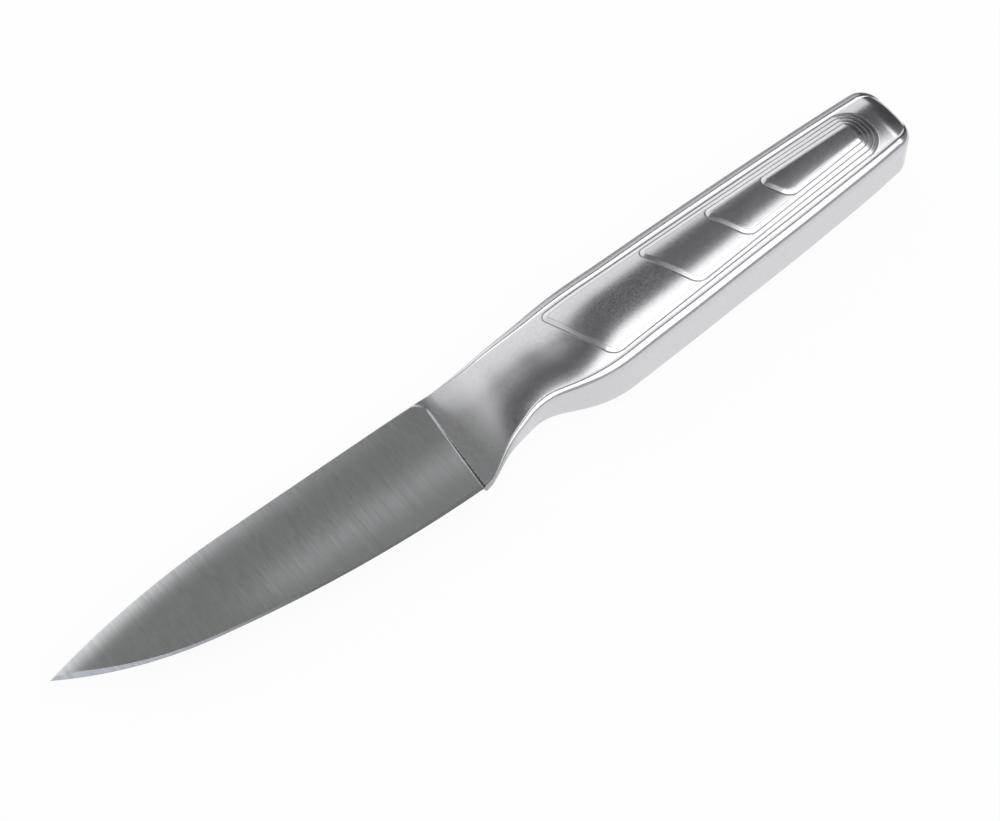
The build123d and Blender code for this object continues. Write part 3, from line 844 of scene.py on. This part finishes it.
camera_data = bpy.data.cameras.new("camera")
camera_data.sensor_width = 36
camera_data.lens = 108
camera_data.clip_start = 0.01
camera = bpy.data.objects.new("camera", camera_data)
camera.location = [value * MM for value in CAMERA_PLACE]
camera.rotation_euler = (math.pi / 2 - CAMERA_ELEVATION, 0, CAMERA_AZIMUTH)
bpy.context.scene.collection.objects.link(camera)
bpy.context.scene.camera = camera


# Floor: a plain pale sheet that the knife lies on. To the camera and in reflections most of its colour is
# plain white, and the rest is a matt paint that keeps the knife's shadow.
FLOOR_REACH = 3.0
FLOOR_WHITE_SHARE = 0.93

floor_mesh = bpy.data.meshes.new("floor")
floor_corners = np.array([(-1, -1, 0), (1, -1, 0), (1, 1, 0), (-1, 1, 0)]) * FLOOR_REACH
floor_mesh.from_pydata(floor_corners, [], [(0, 1, 2, 3)])
floor = bpy.data.objects.new("floor", floor_mesh)
bpy.context.scene.collection.objects.link(floor)
floor_material = bpy.data.materials.new("pale_floor")
floor_material.use_nodes = True
nodes, links = floor_material.node_tree.nodes, floor_material.node_tree.links
nodes["Principled BSDF"].inputs["Base Color"].default_value = (0.85, 0.85, 0.85, 1)
nodes["Principled BSDF"].inputs["Roughness"].default_value = 0.9
glow = nodes.new("ShaderNodeEmission")
glow.inputs["Color"].default_value = (1, 1, 1, 1)
rays = nodes.new("ShaderNodeLightPath")
seen = nodes.new("ShaderNodeMath")
seen.operation = "MAXIMUM"
links.new(rays.outputs["Is Camera Ray"], seen.inputs[0])
links.new(rays.outputs["Is Glossy Ray"], seen.inputs[1])
fade = nodes.new("ShaderNodeMath")
fade.operation = "MULTIPLY"
fade.inputs[1].default_value = FLOOR_WHITE_SHARE
links.new(seen.outputs[0], fade.inputs[0])
mix = nodes.new("ShaderNodeMixShader")
links.new(fade.outputs[0], mix.inputs[0])
links.new(nodes["Principled BSDF"].outputs[0], mix.inputs[1])
links.new(glow.outputs[0], mix.inputs[2])
links.new(mix.outputs[0], nodes["Material Output"].inputs[0])
floor_mesh.materials.append(floor_material)


# Studio: a grey room that is lighter in front and behind than in the middle, and two soft boxes, overhead
# and behind the knife, with a gap between them that the level steel shows as a dark band.
ROOM_TONES = (
    (0.0, (0.56, 0.57, 0.60)), (0.5, (0.26, 0.26, 0.28)), (0.64, (0.07, 0.07, 0.078)),
    (0.8, (0.10, 0.10, 0.11)), (1.0, (0.40, 0.40, 0.42)),
)
BOX_TURN = 21.5

room = bpy.data.worlds.new("studio")
bpy.context.scene.world = room
room.use_nodes = True
walls = room.node_tree
ways = walls.nodes.new("ShaderNodeTexCoord")
axes = walls.nodes.new("ShaderNodeSeparateXYZ")
ramp = walls.nodes.new("ShaderNodeValToRGB")
walls.links.new(ways.outputs["Generated"], axes.inputs["Vector"])
walls.links.new(mapped(walls, axes.outputs["Y"], 0, 1, -1, 1), ramp.inputs["Fac"])
walls.links.new(ramp.outputs["Color"], walls.nodes["Background"].inputs["Color"])
for element in list(ramp.color_ramp.elements)[1:]:
    ramp.color_ramp.elements.remove(element)
for index, (position, tone) in enumerate(ROOM_TONES):
    element = ramp.color_ramp.elements.new(position) if index else ramp.color_ramp.elements[0]
    element.position = position
    element.color = (*tone, 1)


def soft_box(name, place, tilt, turn, size, brightness):
    """Area light as bright as a surface of that brightness, tilted back from facing down and turned."""
    light = bpy.data.lights.new(name, "AREA")
    light.shape = "RECTANGLE"
    light.size, light.size_y = size
    light.energy = brightness * math.pi * size[0] * size[1]
    lamp = bpy.data.objects.new(name, light)
    lamp.location = place
    lamp.rotation_euler = (math.radians(tilt), 0, math.radians(turn))
    bpy.context.scene.collection.objects.link(lamp)


soft_box("overhead_box", place=(0.36, -0.73, 1.3), tilt=0, turn=BOX_TURN, size=(1.8, 2.0), brightness=1.7)
soft_box("back_box", place=(0.161, 1.228, 0.75), tilt=-49.3, turn=BOX_TURN, size=(3.0, 1.58), brightness=1.0)

bpy.context.scene.view_settings.view_transform = "Standard"
